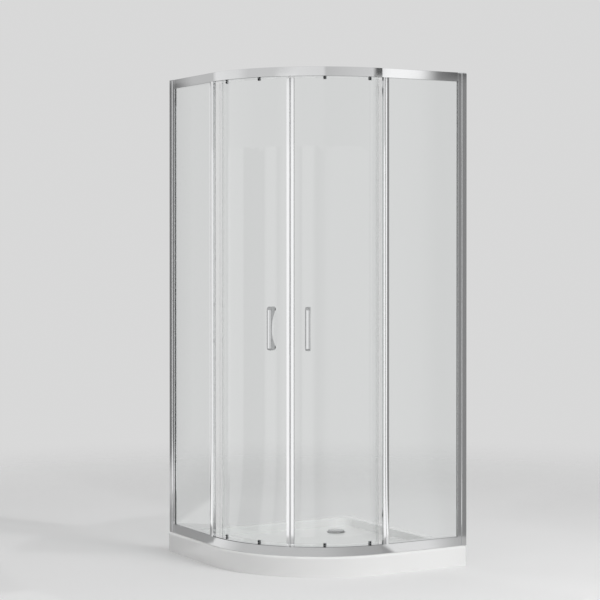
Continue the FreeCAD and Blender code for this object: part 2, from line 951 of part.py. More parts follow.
def outer_stile():
    """Clear channel on the door's outer edge, with a hook that meets the fixed stile's lip."""
    slot_out = door_outer_radius + seat_gap
    slot_in = door_inner_radius - edge_slack
    outside = slot_out + stile_arm
    inside = slot_in - stile_arm
    hook = rail_radius - hook_reach
    return door_profile((
        (inside, -edge_nose, profile_radius),
        (hook, -edge_nose, profile_radius),
        (hook, hook_thickness - edge_nose, profile_radius),
        (outside, hook_thickness - edge_nose, 0),
        (outside, edge_arm, profile_radius),
        (slot_out, edge_arm, 0),
        (slot_out, -seat_gap, 0),
        (slot_in, -seat_gap, 0),
        (slot_in, edge_arm, 0),
        (inside, edge_arm, profile_radius),
    ), door_start_angle)


def meeting_stile():
    """Channel on the door's meeting edge, with a groove for the magnetic strip."""
    slot_out = door_outer_radius + seat_gap
    slot_in = door_inner_radius - edge_slack
    outside = slot_out + stile_arm
    inside = slot_in - stile_arm
    back = -magnet_thickness - meeting_width
    front = -magnet_thickness
    slot_floor = front - meeting_nose
    middle = (door_outer_radius + door_inner_radius) / 2
    groove = (magnet_tongue_width + seat_gap) / 2
    groove_floor = front - magnet_tongue - seat_gap
    return door_profile((
        (inside, back, profile_radius),
        (slot_in, back, 0),
        (slot_in, slot_floor, 0),
        (slot_out, slot_floor, 0),
        (slot_out, back, 0),
        (outside, back, profile_radius),
        (outside, front, profile_radius),
        (middle + groove, front, 0),
        (middle + groove, groove_floor, 0),
        (middle - groove, groove_floor, 0),
        (middle - groove, front, 0),
        (inside, front, profile_radius),
    ), 45)


def magnetic_seal():
    """Magnetic strip on the meeting edge, just short of its twin."""
    middle = (door_outer_radius + door_inner_radius) / 2
    half = glass_thickness / 2 + stile_arm - profile_radius
    tongue = magnet_tongue_width / 2
    front = -magnet_half_gap
    back = -magnet_thickness
    return door_profile((
        (middle - half, back, 0),
        (middle - tongue, back, 0),
        (middle - tongue, back - magnet_tongue, 0),
        (middle + tongue, back - magnet_tongue, 0),
        (middle + tongue, back, 0),
        (middle + half, back, 0),
        (middle + half, front, profile_radius),
        (middle - half, front, profile_radius),
    ), 45)


handle_base = door_outer_radius + seat_gap + handle_washer


def handle():
    """Bow handle: a flat bar with round shoulders, hollowed behind by one long arc."""
    middle = tray_height + handle_height
    half = handle_length / 2
    grip = handle_base + handle_reach
    outline = (
        (handle_base, middle - half, handle_edge),
        (grip, middle - half, handle_corner),
        (grip, middle + half, handle_corner),
        (handle_base, middle + half, handle_edge),
    )
    bar = Part.Face(rounded_wire(outline)).extrude(Vector(0, 0, handle_width))
    bar.translate(Vector(0, 0, -handle_width / 2))
    chord = half - handle_foot
    bow_radius = (chord ** 2 + handle_hollow ** 2) / (2 * handle_hollow)
    centre = Vector(handle_base + handle_hollow - bow_radius, middle, -handle_width)
    bow = Part.makeCylinder(bow_radius, 2 * handle_width, centre)
    bar = bar.cut(bow)
    sides = [edge for edge in bar.Edges if edge.BoundBox.ZLength < pin_gap]
    bar = upright(bar.makeFillet(handle_edge, sides))
    drills = []
    for height in handle_bolt_heights():
        end = handle_base + handle_bolt_depth + seat_gap
        drills.append(bar_out(handle_bolt_radius + pin_gap, handle_base - overrun, end, height))
    return turned(bar.cut(drills), handle_angle)


def handle_bolts():
    """Studs that hold the handle through the glass."""
    start = door_inner_radius - seat_gap - handle_washer - handle_cap_depth / 2
    end = handle_base + handle_bolt_depth
    return [turned(bar_out(handle_bolt_radius, start, end, height), handle_angle)
            for height in handle_bolt_heights()]


def handle_washers():
    """Clear washers on both faces of the glass."""
    washers = []
    sag = door_inner_radius - math.sqrt(door_inner_radius ** 2 - handle_cap_radius ** 2)
    inner = door_inner_radius - seat_gap - sag
    for height in handle_bolt_heights():
        bore = bar_out(handle_bolt_radius + pin_gap, inner - overrun, handle_base + overrun, height)
        for start in (door_outer_radius + seat_gap, inner - handle_washer):
            washer = bar_out(handle_washer_radius, start, start + handle_washer, height)
            washers.append(turned(washer.cut(bore), handle_angle))
    return washers


def handle_caps():
    """Domed nuts on the inside of the glass."""
    caps = []
    sag = door_inner_radius - math.sqrt(door_inner_radius ** 2 - handle_cap_radius ** 2)
    seat = door_inner_radius - seat_gap - sag - handle_washer
    for height in handle_bolt_heights():
        cap = lathe_out((
            (seat, 0),
            (seat, handle_cap_radius),
            (seat - handle_cap_depth + handle_cap_edge, handle_cap_radius),
            (seat - handle_cap_depth, handle_cap_radius - handle_cap_edge),
            (seat - handle_cap_depth, 0),
        ), height)
        bolt_end = door_inner_radius - seat_gap - handle_washer - handle_cap_depth / 2 - seat_gap
        bore = bar_out(handle_bolt_radius + pin_gap, bolt_end, seat + overrun, height)
        caps.append(turned(cap.cut(bore), handle_angle))
    return caps


bracket_outer = door_outer_radius - seat_gap
bracket_sag = door_inner_radius - math.sqrt(door_inner_radius ** 2 - bracket_half_width ** 2)
bracket_seat = door_inner_radius - seat_gap - bracket_sag


def roller_bracket():
    """Moulded carrier: a plate behind the glass and a head above it that holds the axle."""
    foot = clamp_height_z - bracket_foot
    crown = axle_height + bracket_crown
    half = bracket_half_width
    ledge = door_top + seat_gap

    def slab(low, start, end, low_corner):
        corners = ((-half, low, low_corner), (half, low, low_corner), (half, crown, bracket_crown),
                   (-half, crown, bracket_crown))
        return facing_out(prism(corners, start, end))

    plate = slab(foot, bracket_seat - bracket_plate, bracket_seat, bracket_foot / 2)
    head = slab(ledge, bracket_seat, bracket_outer, 0)
    drills = [
        bar_out(axle_radius + pin_gap, bracket_seat - overrun, bracket_outer + overrun, axle_height),
        bar_out(clamp_screw_radius + pin_gap, bracket_seat - overrun, bracket_seat + overrun, clamp_height_z),
    ]
    return plate.fuse(head).removeSplitter().cut(drills)


wheel_inner_face = wheel_track_radius - wheel_width / 2
wheel_outer_face = wheel_track_radius + wheel_width / 2


def roller_axle():
    """Stepped axle riveted in the bracket; the wheel turns between its shoulder and its head."""
    return lathe_out((
        (bracket_seat - bracket_plate, 0),
        (bracket_seat - bracket_plate, axle_radius),
        (bracket_outer, axle_radius),
        (bracket_outer, axle_shoulder_radius),
        (wheel_inner_face - running_gap, axle_shoulder_radius),
        (wheel_inner_face - running_gap, axle_radius),
        (wheel_outer_face + running_gap, axle_radius),
        (wheel_outer_face + running_gap, axle_head_radius),
        (wheel_outer_face + running_gap + axle_head, axle_head_radius - axle_head / 2),
        (wheel_outer_face + running_gap + axle_head, 0),
    ), axle_height)


def wheel():
    """Nylon wheel with a dished web between its hub and its rim."""
    bore = axle_radius + pin_gap
    rim = wheel_radius - wheel_rim
    near, far = wheel_inner_face, wheel_outer_face
    return lathe_out((
        (near, bore),
        (near, wheel_hub_radius),
        (near + wheel_dish, wheel_hub_radius),
        (near + wheel_dish, rim),
        (near, rim),
        (near, wheel_radius - wheel_edge),
        (near + wheel_edge, wheel_radius),
        (far - wheel_edge, wheel_radius),
        (far, wheel_radius - wheel_edge),
        (far, rim),
        (far - wheel_dish, rim),
        (far - wheel_dish, wheel_hub_radius),
        (far, wheel_hub_radius),
        (far, bore),
    ), axle_height)


def roller_screw():
    """Clamp disc on the outer face of the glass with its screw into the bracket."""
    seat = door_outer_radius + seat_gap
    return lathe_out((
        (bracket_seat - bracket_plate, 0),
        (bracket_seat - bracket_plate, clamp_screw_radius),
        (seat, clamp_screw_radius),
        (seat, clamp_radius),
        (seat + clamp_height - clamp_edge, clamp_radius),
        (seat + clamp_height, clamp_radius - clamp_edge),
        (seat + clamp_height, 0),
    ), clamp_height_z)


def at_rollers(piece):
    """One copy of an upper roller piece at each of the door's four rollers."""
    copies = []
    for angle in roller_angles():
        upper = turned(piece, angle)
        copies += [upper, flipped(upper)]
    return copies


def both_sides(piece):
    """A left-hand piece and its right-hand twin."""
    return [piece, mirrored(piece)]


def both_levels(piece):
    """Upper and lower copies of a piece on both sides."""
    return both_sides(piece) + both_sides(flipped(piece))


def carried_to_feet(piece):
    """One copy of a piece at each foot of the tray."""
    copies = []
    for place in foot_places():
        copy = piece.copy()
        copy.translate(place)
        copies.append(copy)
    return copies


# Tray and waste
save("shower_tray", shower_tray())
save("tray_feet", *carried_to_feet(tray_foot()))
save("tray_foot_nuts", *carried_to_feet(foot_nut()))
save("waste_flange", at_drain(waste_flange()))
save("waste_gaskets", *[at_drain(ring) for ring in waste_gaskets()])
save("waste_body", at_drain(waste_body()))
save("waste_cover", at_drain(waste_cover()))
save("waste_strainer", at_drain(waste_strainer()))

# Fixed frame and panels
upper_rail = top_rail()
save("top_rail", upper_rail)
save("bottom_rail", flipped(upper_rail))
save_pair("left_wall_profile", "right_wall_profile", wall_profile())
save_pair("left_jamb", "right_jamb", jamb())
save("jamb_caps", *both_sides(jamb_cap()))
save("jamb_screws", *[twin for height in jamb_screw_heights() for twin in both_sides(jamb_screw(height))])
save("corner_spigots", *both_levels(corner_spigot()))
save("frame_screws", *[twin for height in frame_screw_heights() for twin in both_sides(frame_screw(height))])
save("rail_end_caps", *both_levels(rail_end_cap()))
save("rail_stops", *both_levels(rail_stop()))
save_pair("left_fixed_glass", "right_fixed_glass", fixed_glass())
save_pair("left_glazing_gasket", "right_glazing_gasket", glazing_gasket())
save_pair("left_fixed_stile", "right_fixed_stile", fixed_stile())
save_pair("left_overlap_seal", "right_overlap_seal", overlap_seal())

# Sliding doors
save_pair("left_door_glass", "right_door_glass", door_glass())
save_pair("left_outer_stile", "right_outer_stile", outer_stile())
save_pair("left_meeting_stile", "right_meeting_stile", meeting_stile())
save_pair("left_magnetic_seal", "right_magnetic_seal", magnetic_seal())
save_pair("left_handle", "right_handle", handle())
save_pair("left_handle_bolts", "right_handle_bolts", *handle_bolts())
save_pair("left_handle_washers", "right_handle_washers", *handle_washers())
save_pair("left_handle_caps", "right_handle_caps", *handle_caps())
save_pair("left_roller_brackets", "right_roller_brackets", *at_rollers(roller_bracket()))
save_pair("left_roller_axles", "right_roller_axles", *at_rollers(roller_axle()))
save_pair("left_roller_screws", "right_roller_screws", *at_rollers(roller_screw()))
for place, angle in (("outer", outer_roller_angle), ("inner", inner_roller_angle)):
    upper = turned(wheel(), angle)
    for level, solid in (("top", upper), ("bottom", flipped(upper))):
        name = level + "_" + place + "_wheel"
        save_pair("left_" + name, "right_" + name, solid)
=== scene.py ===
"""Looks of a quadrant shower cabin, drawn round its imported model."""

import math
from collections import namedtuple

import bmesh
import bpy
from bpy.props import FloatProperty, FloatVectorProperty, IntProperty, PointerProperty
from mathutils import Matrix, Vector


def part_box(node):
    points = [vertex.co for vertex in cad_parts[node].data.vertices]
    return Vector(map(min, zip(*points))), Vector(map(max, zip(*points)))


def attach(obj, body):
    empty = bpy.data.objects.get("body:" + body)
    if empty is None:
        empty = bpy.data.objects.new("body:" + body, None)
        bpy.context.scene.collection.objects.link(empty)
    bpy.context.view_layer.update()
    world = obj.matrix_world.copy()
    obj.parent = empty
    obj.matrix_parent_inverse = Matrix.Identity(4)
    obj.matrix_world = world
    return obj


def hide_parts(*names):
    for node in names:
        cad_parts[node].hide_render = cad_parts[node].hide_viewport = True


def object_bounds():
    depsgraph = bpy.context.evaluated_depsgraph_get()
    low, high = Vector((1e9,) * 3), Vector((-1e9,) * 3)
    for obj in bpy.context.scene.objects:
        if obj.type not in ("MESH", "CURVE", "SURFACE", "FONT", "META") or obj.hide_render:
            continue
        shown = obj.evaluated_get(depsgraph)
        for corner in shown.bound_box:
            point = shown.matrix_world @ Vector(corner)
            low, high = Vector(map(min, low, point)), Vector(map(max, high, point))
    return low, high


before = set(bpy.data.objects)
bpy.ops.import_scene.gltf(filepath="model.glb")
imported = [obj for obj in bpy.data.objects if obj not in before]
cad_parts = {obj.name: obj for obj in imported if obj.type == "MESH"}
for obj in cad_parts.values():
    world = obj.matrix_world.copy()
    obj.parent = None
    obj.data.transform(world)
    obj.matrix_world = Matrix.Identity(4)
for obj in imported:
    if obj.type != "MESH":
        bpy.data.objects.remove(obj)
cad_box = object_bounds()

bl_info = {
    "name": "Quadrant Shower Cabin",
    "version": (1, 0, 0),
    "blender": (4, 5, 0),
    "location": "View3D > Sidebar > Cabin",
    "description": "Finishes, fasteners and studio for a quadrant shower cabin",
    "category": "Object",
}

SIDES = ("left", "right")
UP = Vector((0.0, 0.0, 1.0))
WHITE = (1.0, 1.0, 1.0, 1.0)
BACKDROP = 0.69
MERGE_DISTANCE = 1e-6
SHARP_ANGLE = math.radians(35)
BAND_ROUNDS = 180
FLOOR_SPREAD = 1.1
HEXAGON = 6

# How a noise is stretched in X, Y and Z
EVEN = (1.0, 1.0, 1.0)
ALONG_HEIGHT = (1.0, 1.0, 0.004)
ALONG_RAIL = (0.02, 0.02, 1.0)
WIPED_METAL = (1.0, 1.0, 0.2)
WIPED_GLASS = (1.0, 1.0, 0.15)

# Shares of a pan head's radius and of its height, the height measured down from the flat
PAN_HEAD = ((1.0, 1.0), (1.0, 1 / 2), (0.86, 1 / 6), (0.68, 0.0))

# Share of a clamp disc's height that its bevel takes
CLAMP_BEVEL = 1 / 4


# Settings


def colour_setting(name, description, default):
    """A colour that the user can change."""
    return FloatVectorProperty(
        name=name, description=description, subtype="COLOR", size=3, min=0.0, max=1.0, default=default)


def length_setting(name, description, default):
    """A length that the user can change."""
    return FloatProperty(
        name=name, description=description, unit="LENGTH", min=0.0, precision=4, default=default)


def place_setting(name, description, default):
    """A place that the user can change."""
    return FloatVectorProperty(
        name=name, description=description, subtype="TRANSLATION", unit="LENGTH", size=3, default=default)


def angle_setting(name, description, degrees):
    """An angle that the user can change."""
    return FloatProperty(
        name=name, description=description, subtype="ANGLE", default=math.radians(degrees))


def power_setting(name, description, default):
    """A lamp's power that the user can change."""
    return FloatProperty(name=name, description=description, unit="POWER", default=default)


class CabinFinishes(bpy.types.PropertyGroup):
    """Colours of the cabin's materials."""

    acrylic: colour_setting("Acrylic", "Moulded tray", (0.90, 0.90, 0.895))
    aluminium: colour_setting("Aluminium", "Bright profiles and rails", (0.82, 0.825, 0.83))
    chrome: colour_setting("Chrome", "Handles, waste flange and waste cover", (0.55, 0.556, 0.56))
    glass: colour_setting("Glass", "Faces of the panes", (0.935, 0.948, 0.945))
    glass_edge: colour_setting("Glass edge", "Polished edges of the panes", (0.50, 0.62, 0.58))
    seal: colour_setting("Seal", "Clear gaskets, lips, door edges and washers", (0.93, 0.945, 0.94))
    magnet: colour_setting("Magnet", "Strips where the doors meet", (0.74, 0.745, 0.75))
    carrier: colour_setting("Carrier", "Roller brackets", (0.46, 0.465, 0.47))
    foot: colour_setting("Foot", "Feet under the tray", (0.028, 0.028, 0.030))
    white_plastic: colour_setting("White plastic", "Waste body, strainer, spigots", (0.80, 0.80, 0.79))
    grey_plastic: colour_setting("Grey plastic", "Caps on jambs and rails", (0.52, 0.53, 0.54))
    rubber: colour_setting("Rubber", "Stops and waste gaskets", (0.022, 0.022, 0.022))
    steel: colour_setting("Steel", "Screws, studs, nuts and axles", (0.60, 0.60, 0.61))
    dark_metal: colour_setting("Dark metal", "Clamp screws of the rollers", (0.060, 0.060, 0.065))
    nylon: colour_setting("Nylon", "Wheels", (0.84, 0.84, 0.82))


class CabinFasteners(bpy.types.PropertyGroup):
    """Sizes of the small fasteners that are shaped here, and the axis that some of them point from."""

    front_axis: place_setting("Front axis", "Upright axis of the curved front", (0.05, 0.05, 0.0))
    head_height: length_setting("Head height", "Height of a pan head", 0.0022)
    shank_radius: length_setting("Shank radius", "Radius of a pan-head screw's shank", 0.0019)
    cross_length: length_setting("Cross length", "Tip to tip of the cross recess", 0.0044)
    cross_width: length_setting("Cross width", "Width of one wing of the cross recess", 0.0011)
    recess_depth: length_setting("Recess depth", "Depth of a driver recess", 0.0013)
    clamp_height: length_setting("Clamp height", "Height of a roller's clamp disc", 0.0022)
    clamp_shank: length_setting("Clamp shank", "Radius of a clamp disc's shank", 0.0019)
    socket_width: length_setting("Socket width", "Across the corners of a clamp disc's socket", 0.0038)
    rounds: IntProperty(name="Rounds", description="Sides of a turned piece", min=12, default=40)


class CabinHandles(bpy.types.PropertyGroup):
    """Sizes of the bow handles that are shaped here."""

    shoulder: length_setting("Shoulder", "Radius of the handle's round shoulders", 0.015)
    foot: length_setting("Foot", "Height of the foot that stands on the pane", 0.022)
    hollow: length_setting("Hollow", "Depth of the finger hollow", 0.024)
    edge: length_setting("Edge", "Rounding of the foot's corners beside the pane", 0.0025)
    flank: length_setting("Flank", "Rounding of the foot's flanks", 0.0018)
    crown: length_setting("Crown", "Rounding of the grip, from front to back", 0.005)
    ridge: length_setting("Ridge", "Flat that is left along the middle of the grip", 0.008)
    blend_length: length_setting("Blend", "Length over which the foot's flank grows into the grip", 0.014)
    steps: IntProperty(name="Steps", description="Sides of a quarter round", min=4, default=10)


class CabinStage(bpy.types.PropertyGroup):
    """Camera, lamps, air, floor and bands."""

    camera_place: place_setting("Camera", "Where the camera stands", (-3.634, -6.179, 1.298))
    camera_yaw: angle_setting("Yaw", "Turn of the camera from +Y towards +X", 29.705)
    camera_pitch: angle_setting("Pitch", "Tilt of the camera above the horizon", -0.373)
    camera_depth: length_setting("Depth", "How far the camera sees", 100.0)
    focal_pixels: FloatProperty(
        name="Focal length", description="In pixels of the picture", default=1743.0)
    picture_pixels: FloatProperty(
        name="Picture", description="Width of the picture in pixels", default=600.0)
    shift_pixels: FloatVectorProperty(
        name="Shift", description="Shift of the lens in pixels, right and up", size=2, default=(8.7, -46.1))
    key_place: place_setting("Key place", "Where the large lamp stands", (1.6, -4.2, 3.2))
    key_width: length_setting("Key width", "Side of the large lamp", 2.2)
    key_power: power_setting("Key power", "Power of the large lamp", 110.0)
    fill_place: place_setting("Fill place", "Where the weak lamp stands", (-4.4, -0.6, 2.4))
    fill_width: length_setting("Fill width", "Side of the weak lamp", 2.0)
    fill_power: power_setting("Fill power", "Power of the weak lamp", 6.0)
    top_place: place_setting("Top place", "Where the lamp overhead hangs", (-0.4, -0.4, 4.6))
    top_width: length_setting("Top width", "Side of the lamp overhead", 2.4)
    top_power: power_setting("Top power", "Power of the lamp overhead", 45.0)
    air_strength: FloatProperty(name="Air", description="Light that comes from all round", default=0.44)
    backdrop: FloatProperty(
        name="Backdrop", description="Pale grey that surrounds the cabin", default=BACKDROP)
    floor_colour: colour_setting("Floor", "Plain floor", (0.84, 0.84, 0.84))
    floor_near: length_setting("Floor near", "Radius up to which the floor is whole", 1.4)
    floor_far: length_setting("Floor far", "Radius at which the floor has faded out", 4.5)
    band_near: length_setting("Band near", "Radius where the floor that the rail mirrors begins", 0.62)
    band_middle: length_setting(
        "Band middle", "Radius where the floor that the uprights mirror begins", 1.3)
    band_far: length_setting("Band far", "Radius of the bands that stand round the cabin", 4.5)
    band_low: length_setting("Band low", "Height of the flat bands over the floor", 0.003)
    band_upper: length_setting("Band upper", "Height up to which the handles mirror their band", 1.9)
    band_step: length_setting("Band step", "Height where the rail's band begins", 2.325)
    band_high: length_setting("Band high", "Height where the rail's band ends", 3.6)


# Materials


class Term:
    """One socket of a node tree, for use in plain arithmetic; the bar takes the larger of two."""

    def __init__(self, sheet, socket):
        self.sheet = sheet
        self.socket = socket

    def combine(self, operation, other):
        return self.sheet.node("ShaderNodeMath", {"operation": operation}, {0: self, 1: other})

    def __add__(self, other):
        return self.combine("ADD", other)

    def __mul__(self, other):
        return self.combine("MULTIPLY", other)

    def __or__(self, other):
        return self.combine("MAXIMUM", other)

    def __gt__(self, other):
        return self.combine("GREATER_THAN", other)

    def __abs__(self):
        return self.combine("ABSOLUTE", 0.0)

    __radd__ = __add__
    __rmul__ = __mul__
    __ror__ = __or__


class Sheet:
    """A node tree that is being drawn."""

    def __init__(self, owner):
        owner.use_nodes = True
        self.owner = owner
        self.tree = owner.node_tree
        self.tree.nodes.clear()

    def node(self, kind, settings=None, sockets=None, out=0):
        """Add a node, set it up, feed its sockets and hand back one of its outputs."""
        made = self.tree.nodes.new(kind)
        for name, value in (settings or {}).items():
            if name == "stops":
                fill_ramp(made.color_ramp, value)
            else:
                setattr(made, name, value)
        for name, value in (sockets or {}).items():
            if isinstance(value, Term):
                self.tree.links.new(value.socket, made.inputs[name])
            else:
                made.inputs[name].default_value = value
        return Term(self, made.outputs[out])

    def place(self, scale=EVEN):
        """Points of the piece in metres, stretched by a scale."""
        points = self.node("ShaderNodeTexCoord", out="Object")
        return self.node("ShaderNodeVectorMath", {"operation": "MULTIPLY"}, {0: points, 1: scale})

    def noise(self, grain, scale=EVEN, detail=3.0):
        """Grey noise with so many grains to the metre."""
        sockets = {"Vector": self.place(scale), "Scale": grain, "Detail": detail}
        return self.node("ShaderNodeTexNoise", None, sockets)

    def fade(self, value, low, high):
        """From 0 at low to 1 at high, smoothly."""
        sockets = {"Value": value, "From Min": low, "From Max": high}
        return self.node("ShaderNodeMapRange", {"interpolation_type": "SMOOTHSTEP"}, sockets)

    def blend(self, share, first, second):
        """A colour between two colours."""
        sockets = {0: share, 6: opaque(first), 7: opaque(second)}
        return self.node("ShaderNodeMix", {"data_type": "RGBA"}, sockets, out=2)

    def vary(self, share, colour, darkest, lightest):
        """A colour between a darker and a lighter shade of itself."""
        return self.blend(share, shade(colour, darkest), shade(colour, lightest))

    def bump(self, height, depth, strength):
        """Relief of a real depth."""
        sockets = {"Height": height, "Distance": depth, "Strength": strength}
        return self.node("ShaderNodeBump", None, sockets)

    def principled(self, **sockets):
        """The surface shader; underscores in names stand for spaces."""
        named = {name.replace("_", " "): value for name, value in sockets.items()}
        return self.node("ShaderNodeBsdfPrincipled", None, named)

    def mix(self, share, first, second):
        """A shader between two shaders."""
        return self.node("ShaderNodeMixShader", None, {0: share, 1: first, 2: second})

    def show(self, surface, output="ShaderNodeOutputMaterial"):
        """Finish the tree and hand back its owner."""
        end = self.tree.nodes.new(output)
        self.tree.links.new(surface.socket, end.inputs["Surface"])
        return self.owner


def fill_ramp(ramp, stops):
    """Give a ramp its stops, each a place and a grey."""
    while len(ramp.elements) > 1:
        ramp.elements.remove(ramp.elements[-1])
    for number, (place, grey) in enumerate(stops):
        stop = ramp.elements.new(place) if number else ramp.elements[0]
        stop.position = place
        stop.color = (grey, grey, grey, 1.0)


def opaque(colour):
    """A colour with full alpha, or a term as it is."""
    return colour if isinstance(colour, Term) else (*colour, 1.0)


def shade(colour, factor):
    """A colour made lighter or darker."""
    return tuple(min(1.0, part * factor) for part in colour)


def new_sheet(name):
    """A fresh material to draw in."""
    return Sheet(bpy.data.materials.new(name))


def acrylic(colour):
    """Gloss sanitary acrylic: faint cloudiness and the slow ripple of a drawn sheet."""
    sheet = new_sheet("white_acrylic")
    cloud = sheet.noise(grain=4.0)
    ripple = sheet.noise(grain=26.0, detail=1.0)
    return sheet.show(sheet.principled(
        Base_Color=sheet.vary(cloud, colour, darkest=0.975, lightest=1.02),
        Roughness=0.16 + 0.12 * sheet.noise(grain=60.0),
        Coat_Weight=0.5,
        Coat_Roughness=0.06,
        Normal=sheet.bump(ripple, depth=0.0004, strength=0.35),
    ))


def drawn_metal(name, colour, along, roughness):
    """Bright extruded metal with faint lines along its length."""
    sheet = new_sheet(name)
    lines = sheet.noise(grain=500.0, scale=along, detail=1.0)
    haze = sheet.noise(grain=9.0, detail=1.0)
    return sheet.show(sheet.principled(
        Base_Color=sheet.vary(lines, colour, darkest=0.985, lightest=1.01),
        Metallic=1.0,
        Roughness=roughness + 0.02 * lines + 0.02 * haze,
    ))


def polished_metal(name, colour, roughness):
    """Plated metal with a trace of wiping marks."""
    sheet = new_sheet(name)
    wiped = sheet.noise(grain=90.0, scale=WIPED_METAL)
    return sheet.show(sheet.principled(
        Base_Color=sheet.vary(sheet.noise(grain=20.0), colour, darkest=0.97, lightest=1.02),
        Metallic=1.0,
        Roughness=roughness + 0.06 * wiped,
        Normal=sheet.bump(wiped, depth=0.00005, strength=0.12),
    ))


def clear_glass(face, edge):
    """Tempered float glass: clear faces and greenish polished edges, and lamps shine through it."""
    sheet = new_sheet("clear_glass")
    normal = sheet.node("ShaderNodeNewGeometry", out="Normal")
    upright = abs(sheet.node("ShaderNodeSeparateXYZ", None, {0: normal}, out="Z"))
    rim = upright > 0.5
    wiped = sheet.noise(grain=30.0, scale=WIPED_GLASS)
    pane = sheet.principled(
        Base_Color=sheet.blend(rim, sheet.vary(wiped, face, darkest=0.992, lightest=1.0), edge),
        Roughness=0.012 * wiped + 0.25 * rim,
        IOR=1.48,
        Transmission_Weight=1.0,
    )
    through = sheet.node("ShaderNodeBsdfTransparent", None, {"Color": opaque(shade(face, 0.97))})
    lamp = sheet.node("ShaderNodeLightPath", out="Is Shadow Ray")
    return sheet.show(sheet.mix(lamp, pane, through))


def soft_clear(colour):
    """Clear soft plastic of seals, door edges and washers, a little milky."""
    sheet = new_sheet("clear_seal")
    milk = sheet.noise(grain=12.0, scale=ALONG_HEIGHT)
    return sheet.show(sheet.principled(
        Base_Color=sheet.vary(milk, colour, darkest=0.97, lightest=1.02),
        Roughness=0.22 + 0.10 * milk,
        Alpha=0.06 + 0.04 * milk,
    ))


def moulded(name, colour, roughness, grain=2200.0, depth=0.00006):
    """Moulded plastic or rubber with a fine grain."""
    sheet = new_sheet(name)
    pebble = sheet.noise(grain, detail=2.0)
    cloud = sheet.noise(grain=18.0)
    return sheet.show(sheet.principled(
        Base_Color=sheet.vary(cloud, colour, darkest=0.9, lightest=1.1),
        Roughness=roughness - 0.06 + 0.12 * pebble,
        Normal=sheet.bump(pebble, depth, strength=0.4),
    ))


def ribbed_strip(colour):
    """Extruded magnetic strip with fine lines along it."""
    sheet = new_sheet("grey_magnet")
    lines = sheet.noise(grain=1500.0, scale=ALONG_HEIGHT, detail=1.0)
    return sheet.show(sheet.principled(
        Base_Color=sheet.vary(lines, colour, darkest=0.86, lightest=1.1),
        Roughness=0.42 + 0.1 * lines,
        Normal=sheet.bump(lines, depth=0.0001, strength=0.3),
    ))


def dress(material, *names):
    """Give CAD nodes a material."""
    for name in names:
        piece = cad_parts[name]
        piece.data.materials.clear()
        piece.data.materials.append(material)


def both(*names):
    """The left and right nodes of these names."""
    return [side + "_" + name for side in SIDES for name in names]


# Outlines and faces


def arc(centre, radius, start, end, steps):
    """Points of an arc, from one angle in degrees to another."""
    points = []
    for step in range(steps + 1):
        angle = math.radians(start + (end - start) * step / steps)
        points.append(Vector((centre[0] + radius * math.cos(angle), centre[1] + radius * math.sin(angle))))
    return points


def line(start, end, steps):
    """Points between two ends, without the ends."""
    return [start.lerp(end, step / steps) for step in range(1, steps)]


def regular_outline(radius, sides):
    """Corners of a circle or a hexagon."""
    return arc((0.0, 0.0), radius, 0, 360, sides)[:-1]


def cross_outline(length, width):
    """Corners of a cross recess."""
    far, near = length / 2, width / 2
    wing = (Vector((near, near)), Vector((near, far)), Vector((-near, far)))
    spins = [Matrix.Rotation(turn * math.pi / 2, 2) for turn in range(4)]
    return [spin @ corner for spin in spins for corner in wing]


def level_direction(axis, point):
    """Level direction from an upright axis to a point."""
    return Vector((point.x - axis.x, point.y - axis.y, 0.0)).normalized()


def join_rings(mesh, first, second, smooth):
    """Join two rings of corners with faces."""
    for number in range(len(first)):
        after = (number + 1) % len(first)
        face = mesh.faces.new((first[number], first[after], second[after], second[number]))
        face.smooth = smooth


def finish_piece(mesh, name, node, body, material):
    """Turn a mesh into a piece that rides on a body and stands for a CAD node."""
    bmesh.ops.recalc_face_normals(mesh, faces=mesh.faces)
    data = bpy.data.meshes.new(name)
    mesh.to_mesh(data)
    mesh.free()
    data.materials.append(material)
    data.set_sharp_from_angle(angle=SHARP_ANGLE)
    piece = bpy.data.objects.new(name, data)
    bpy.context.scene.collection.objects.link(piece)
    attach(piece, body)
    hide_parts(node)


# Small fasteners


# Lowest and highest corner of a solid, and the mean of its corners
Solid = namedtuple("Solid", ("low", "high", "middle"))


def solids(name):
    """Each separate solid of a CAD node."""
    mesh = bmesh.new()
    mesh.from_mesh(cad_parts[name].data)
    bmesh.ops.remove_doubles(mesh, verts=mesh.verts, dist=MERGE_DISTANCE)
    seen = set()
    found = []
    for start in mesh.verts:
        points, queue = [], [start]
        while queue:
            vert = queue.pop()
            if vert not in seen:
                seen.add(vert)
                points.append(vert.co.copy())
                queue += [edge.other_vert(vert) for edge in vert.link_edges]
        if points:
            low = Vector(min(point[axis] for point in points) for axis in range(3))
            high = Vector(max(point[axis] for point in points) for axis in range(3))
            found.append(Solid(low, high, sum(points, Vector()) / len(points)))
    mesh.free()
    return sorted(found, key=lambda solid: tuple(round(part, 4) for part in solid.low))


def turned_screw(mesh, sizes, base, outward, profile, recess):
    """Add one turned screw, from the shank's tip to the flat of the head, where the recess is cut."""
    turn = outward.to_track_quat("Z", "Y").to_matrix()

    def put(outline, height):
        return [mesh.verts.new(base + turn @ Vector((point.x, point.y, height))) for point in outline]

    rings = [put(regular_outline(radius, sizes.rounds), height) for radius, height in profile]
    mesh.faces.new(reversed(rings[0]))
    for low, high in zip(rings, rings[1:]):
        join_rings(mesh, low, high, smooth=True)
    flat = profile[-1][1]
    rim = put(recess, flat)
    floor = put(recess, flat - sizes.recess_depth)
    edges = []
    for loop in (rings[-1], rim):
        for vert, after in zip(loop, loop[1:] + loop[:1]):
            edges.append(mesh.edges.get((vert, after)) or mesh.edges.new((vert, after)))
    bmesh.ops.triangle_fill(mesh, use_beauty=True, use_dissolve=False, edges=edges)
    join_rings(mesh, rim, floor, smooth=False)
    mesh.faces.new(floor)


